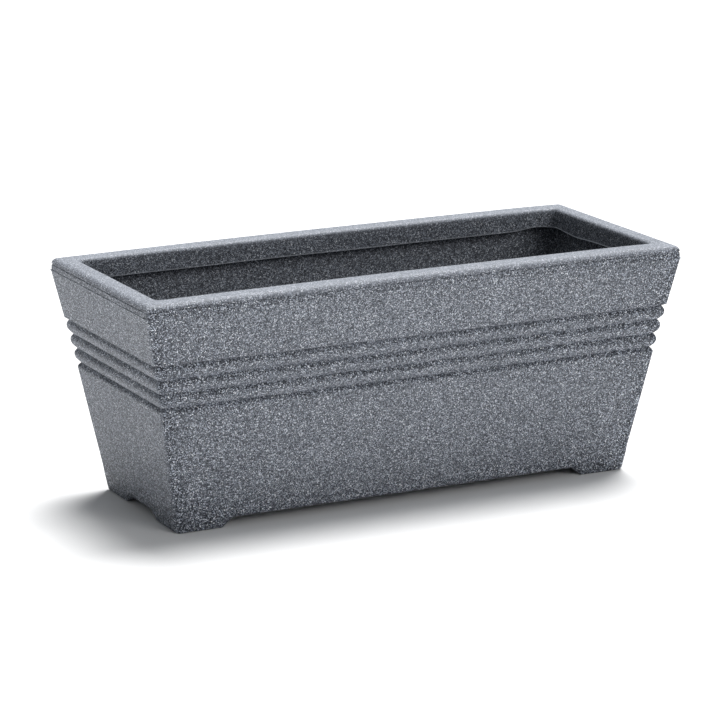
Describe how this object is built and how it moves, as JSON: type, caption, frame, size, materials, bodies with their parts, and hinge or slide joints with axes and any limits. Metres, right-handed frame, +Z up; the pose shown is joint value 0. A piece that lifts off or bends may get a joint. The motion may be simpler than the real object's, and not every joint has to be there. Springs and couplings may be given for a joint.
{
  "type": "self watering planter",
  "caption": "Tapered trough planter with skirted rim, beaded grooves and corner feet, over a water reservoir with lift-out false floor, fill tube, level gauge, overflow and drain plug.",
  "frame": {"origin": "centre of the footprint, on the ground under the feet", "axes": "+X along the trough, +Y towards the rear wall with the fittings, +Z up"},
  "size_m": [0.711, 0.294, 0.289],
  "materials": {
    "granite_plastic": "granite-look speckled matte polyethylene",
    "black_plastic": "satin moulded polypropylene",
    "rubber": "smooth black rubber",
    "steel": "drawn stainless wire",
    "clear_plastic": "clear moulded plastic",
    "float_plastic": "white foamed plastic",
    "red_plastic": "gloss red",
    "pale_plastic": "grey moulded plastic"
  },
  "bodies": {
    "planter": {"planter_shell": "granite_plastic", "overflow_spout": "black_plastic", "overflow_gasket": "rubber", "overflow_nut": "black_plastic", "overflow_screen": "pale_plastic", "drain_fitting": "black_plastic", "drain_gasket": "rubber", "drain_nut": "black_plastic"},
    "plug": {"drain_plug": "black_plastic", "drain_o_ring": "rubber"},
    "insert": {"platform_left": "black_plastic", "platform_right": "black_plastic", "platform_clips": "black_plastic", "support_leg_1": "black_plastic", "support_leg_2": "black_plastic", "support_leg_3": "black_plastic", "support_leg_4": "black_plastic", "support_leg_5": "black_plastic", "support_leg_6": "black_plastic", "support_leg_7": "black_plastic", "support_leg_8": "black_plastic", "soil_well_1": "black_plastic", "soil_well_2": "black_plastic", "soil_well_3": "black_plastic", "soil_well_4": "black_plastic", "fill_tube": "black_plastic", "fill_collar": "black_plastic", "cap_hinge_pin": "steel", "gauge_tube": "black_plastic", "gauge_collar": "black_plastic", "guide_ring": "pale_plastic", "sight_cap": "clear_plastic"},
    "cap": {"fill_cap": "black_plastic"},
    "gauge_float": {"level_float": "float_plastic", "indicator_rod": "steel", "indicator_tip": "red_plastic"}
  },
  "joints": [
    {"name": "plug_pull", "type": "slide", "parent": "planter", "child": "plug", "axis": [0, 0.9883, -0.1525], "range_m": [0, 0.03]},
    {"name": "insert_lift", "type": "slide", "parent": "planter", "child": "insert", "axis": [0, 0, 1], "range_m": [0, 0.3]},
    {"name": "cap_hinge", "type": "hinge", "parent": "insert", "child": "cap", "pos_m": [-0.274, -0.0525, 0.2508], "axis": [-1, 0, 0], "range_deg": [0, 110]},
    {"name": "float_rise", "type": "slide", "parent": "insert", "child": "gauge_float", "axis": [0, 0, 1], "range_m": [0, 0.032]}
  ]
}
